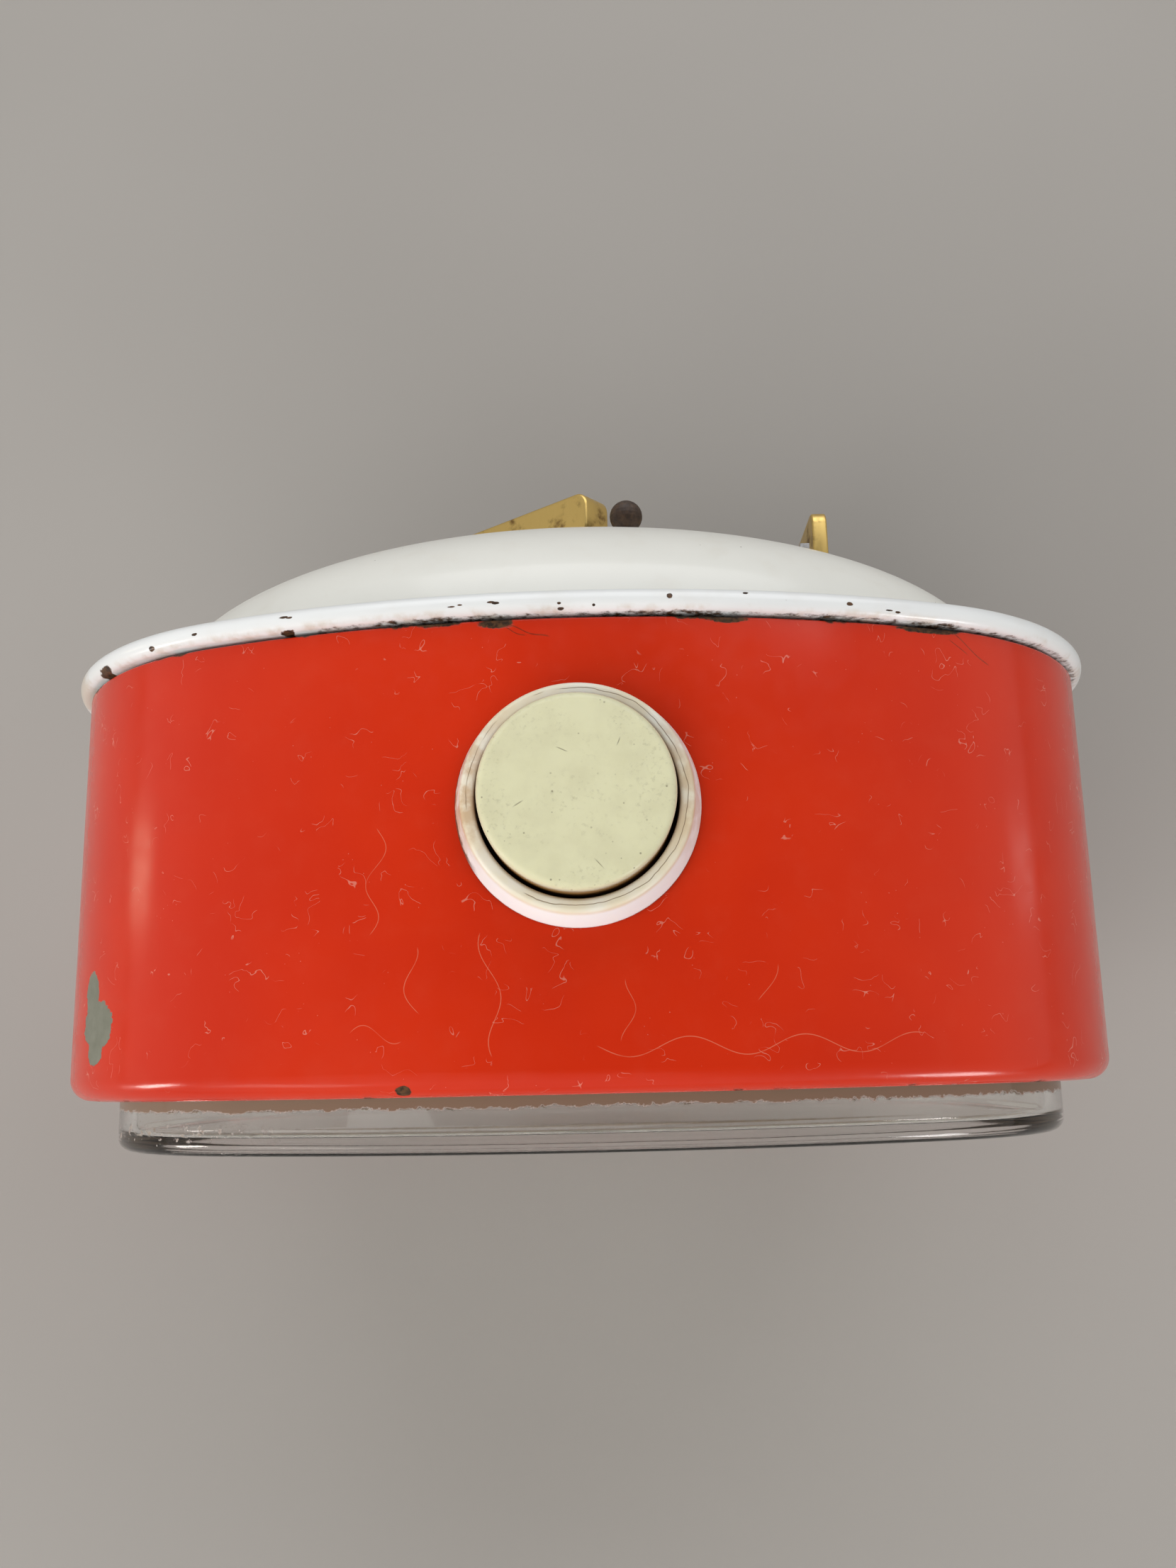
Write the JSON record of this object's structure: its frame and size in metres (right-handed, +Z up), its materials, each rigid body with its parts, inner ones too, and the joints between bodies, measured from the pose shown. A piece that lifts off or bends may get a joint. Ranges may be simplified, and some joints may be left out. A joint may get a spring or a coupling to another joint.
{
  "type": "wind-up alarm clock",
  "caption": "Wind-up alarm clock with a red steel band, domed white rear cover, clear boxy crystal, brass winding keys and a round push button on top that stops the alarm.",
  "frame": {"origin": "centre of the bounding box in X and Y, on the surface that the two feet stand on", "axes": "+X to the right as seen from the dial, -Y out of the dial, +Y out of the rear cover, +Z up through the push button"},
  "size_m": [0.1062, 0.072, 0.0972],
  "materials": {
    "red_paint": "glossy enamel over pressed steel, chipped and dusty",
    "white_paint": "glossy white enamel, chipped to rust along the rim",
    "dial_ring_paint": "satin white",
    "dial_paint": "satin silver-white dial with plain printed numerals",
    "clear_crystal": "clear moulded acrylic, lightly scratched",
    "ivory_plastic": "aged ivory plastic with a hairline crack",
    "cream_button": "aged cream-green plastic, faintly mottled",
    "foot_rubber": "matt black moulded rubber",
    "key_brass": "worn plated brass with brown tarnish",
    "dark_knob": "dark brown-black moulded plastic",
    "hand_paint": "black enamel",
    "alarm_hand_brass": "plain brass",
    "plate_brass": "rolled brass",
    "spring_steel": "blued spring steel",
    "bright_steel": "turned and stamped steel"
  },
  "bodies": {
    "case": {"case_band": "red_paint", "crystal": "clear_crystal", "dial_ring": "dial_ring_paint", "dial": "dial_paint", "rear_cover": "white_paint", "foot_left": "foot_rubber", "foot_right": "foot_rubber", "button_collar": "ivory_plastic", "collar_clip": "spring_steel", "button_spring": "spring_steel", "spring_bridge": "bright_steel", "front_plate": "plate_brass", "rear_plate": "plate_brass", "pillar_1": "bright_steel", "pillar_2": "bright_steel", "pillar_3": "bright_steel", "pillar_4": "bright_steel", "pillar_nut_1": "bright_steel", "pillar_nut_2": "bright_steel", "pillar_nut_3": "bright_steel", "pillar_nut_4": "bright_steel", "cover_post_left": "bright_steel", "cover_post_right": "bright_steel", "cover_screw_left": "key_brass", "cover_screw_right": "key_brass", "centre_post": "bright_steel", "time_mainspring": "spring_steel", "alarm_mainspring": "spring_steel", "hairspring": "spring_steel", "striker_stud": "bright_steel"},
    "button": {"stop_button": "cream_button"},
    "lever": {"stop_lever": "bright_steel"},
    "time_key": {"time_winding_arbor": "bright_steel", "time_winding_key": "key_brass"},
    "alarm_key": {"alarm_winding_arbor": "bright_steel", "alarm_winding_key": "key_brass"},
    "great_wheel": {"time_great_wheel": "plate_brass"},
    "second_wheel": {"second_wheel": "plate_brass"},
    "third_wheel": {"third_wheel": "plate_brass"},
    "fourth_wheel": {"fourth_wheel": "plate_brass"},
    "escape_wheel": {"escape_wheel": "plate_brass"},
    "pallets": {"pallet_fork": "bright_steel"},
    "balance": {"balance_wheel": "plate_brass"},
    "regulator": {"regulator_lever": "bright_steel"},
    "alarm_great_wheel": {"alarm_great_wheel": "plate_brass"},
    "alarm_escape_wheel": {"alarm_escape_wheel": "plate_brass"},
    "hammer": {"alarm_hammer": "bright_steel"},
    "minute": {"cannon_pinion": "plate_brass", "minute_hand": "hand_paint"},
    "setting_knob": {"time_set_shaft": "dark_knob"},
    "minute_wheel": {"minute_wheel": "plate_brass"},
    "hour": {"hour_wheel": "plate_brass", "hour_hand": "hand_paint"},
    "alarm_disc": {"alarm_wheel": "plate_brass", "alarm_hand": "alarm_hand_brass"},
    "alarm_knob": {"alarm_set_shaft": "key_brass"}
  },
  "joints": [
    {"name": "button_press", "type": "slide", "parent": "case", "child": "button", "axis": [0, 0, -1], "range_m": [0, 0.0035], "stiffness_N_per_m": 300, "springref_m": -0.003, "deforming": ["button_spring"]},
    {"name": "lever_rock", "type": "hinge", "parent": "case", "child": "lever", "pos_m": [-0.016, -0.011, 0.0753], "axis": [0, 1, 0], "range_deg": [0, 13]},
    {"name": "time_winding", "type": "hinge", "parent": "case", "child": "time_key", "pos_m": [-0.00906, -0.011, 0.04411], "axis": [0, 1, 0], "continuous": true},
    {"name": "alarm_winding", "type": "hinge", "parent": "case", "child": "alarm_key", "pos_m": [0.0289, -0.011, 0.0348], "axis": [0, 1, 0], "continuous": true},
    {"name": "third_wheel_turn", "type": "hinge", "parent": "case", "child": "third_wheel", "pos_m": [-0.00932, -0.011, 0.06649], "axis": [0, 1, 0], "continuous": true},
    {"name": "great_wheel_turn", "type": "hinge", "parent": "case", "child": "great_wheel", "pos_m": [-0.00906, -0.011, 0.04411], "axis": [0, 1, 0], "continuous": true},
    {"name": "second_wheel_turn", "type": "hinge", "parent": "case", "child": "second_wheel", "pos_m": [-0.0182, -0.011, 0.05903], "axis": [0, 1, 0], "continuous": true},
    {"name": "fourth_wheel_turn", "type": "hinge", "parent": "case", "child": "fourth_wheel", "pos_m": [-0.00006, -0.011, 0.06485], "axis": [0, 1, 0], "continuous": true},
    {"name": "escape_wheel_turn", "type": "hinge", "parent": "case", "child": "escape_wheel", "pos_m": [0.00783, -0.011, 0.06773], "axis": [0, 1, 0], "continuous": true},
    {"name": "pallet_rock", "type": "hinge", "parent": "case", "child": "pallets", "pos_m": [0.01523, -0.011, 0.06773], "axis": [0, 1, 0], "range_deg": [-4, 4]},
    {"name": "balance_swing", "type": "hinge", "parent": "case", "child": "balance", "pos_m": [0.02519, -0.011, 0.06686], "axis": [0, 1, 0], "range_deg": [-220, 220], "stiffness_Nm_per_rad": 0.000011},
    {"name": "regulator_turn", "type": "hinge", "parent": "case", "child": "regulator", "pos_m": [0.02519, -0.011, 0.06686], "axis": [0, 1, 0], "range_deg": [-25, 25]},
    {"name": "alarm_great_wheel_turn", "type": "hinge", "parent": "case", "child": "alarm_great_wheel", "pos_m": [0.0289, -0.011, 0.0348], "axis": [0, 1, 0], "continuous": true},
    {"name": "alarm_escape_wheel_turn", "type": "hinge", "parent": "case", "child": "alarm_escape_wheel", "pos_m": [0.01818, -0.011, 0.0438], "axis": [0, 1, 0], "continuous": true},
    {"name": "hammer_swing", "type": "hinge", "parent": "case", "child": "hammer", "pos_m": [0.00972, -0.011, 0.04688], "axis": [0, 1, 0], "range_deg": [-9, 9]},
    {"name": "minute_turn", "type": "hinge", "parent": "case", "child": "minute", "pos_m": [0, -0.011, 0.0465], "axis": [0, 1, 0], "continuous": true},
    {"name": "setting_knob_turn", "type": "hinge", "parent": "case", "child": "setting_knob", "pos_m": [0.00551, -0.011, 0.0564], "axis": [0, 1, 0], "continuous": true},
    {"name": "minute_wheel_turn", "type": "hinge", "parent": "case", "child": "minute_wheel", "pos_m": [-0.01259, -0.011, 0.0465], "axis": [0, 1, 0], "continuous": true},
    {"name": "hour_turn", "type": "hinge", "parent": "case", "child": "hour", "pos_m": [0, -0.011, 0.0465], "axis": [0, 1, 0], "continuous": true},
    {"name": "alarm_disc_turn", "type": "hinge", "parent": "case", "child": "alarm_disc", "pos_m": [0, -0.011, 0.0465], "axis": [0, 1, 0], "continuous": true},
    {"name": "alarm_knob_turn", "type": "hinge", "parent": "case", "child": "alarm_knob", "pos_m": [0.00919, -0.011, 0.03879], "axis": [0, 1, 0], "continuous": true}
  ],
  "couplings": [
    {"joint": "lever_rock", "follows": "button_press", "rad_per_m": 62.5},
    {"joint": "great_wheel_turn", "follows": "third_wheel_turn", "ratio": 0.027778},
    {"joint": "second_wheel_turn", "follows": "third_wheel_turn", "ratio": -0.16667},
    {"joint": "fourth_wheel_turn", "follows": "third_wheel_turn", "ratio": -5},
    {"joint": "escape_wheel_turn", "follows": "third_wheel_turn", "ratio": 25},
    {"joint": "alarm_escape_wheel_turn", "follows": "alarm_great_wheel_turn", "ratio": -5},
    {"joint": "setting_knob_turn", "follows": "minute_turn", "ratio": -0.38461},
    {"joint": "minute_wheel_turn", "follows": "minute_turn", "ratio": -0.33333},
    {"joint": "hour_turn", "follows": "minute_turn", "ratio": 0.083333},
    {"joint": "alarm_knob_turn", "follows": "alarm_disc_turn", "ratio": -3}
  ]
}
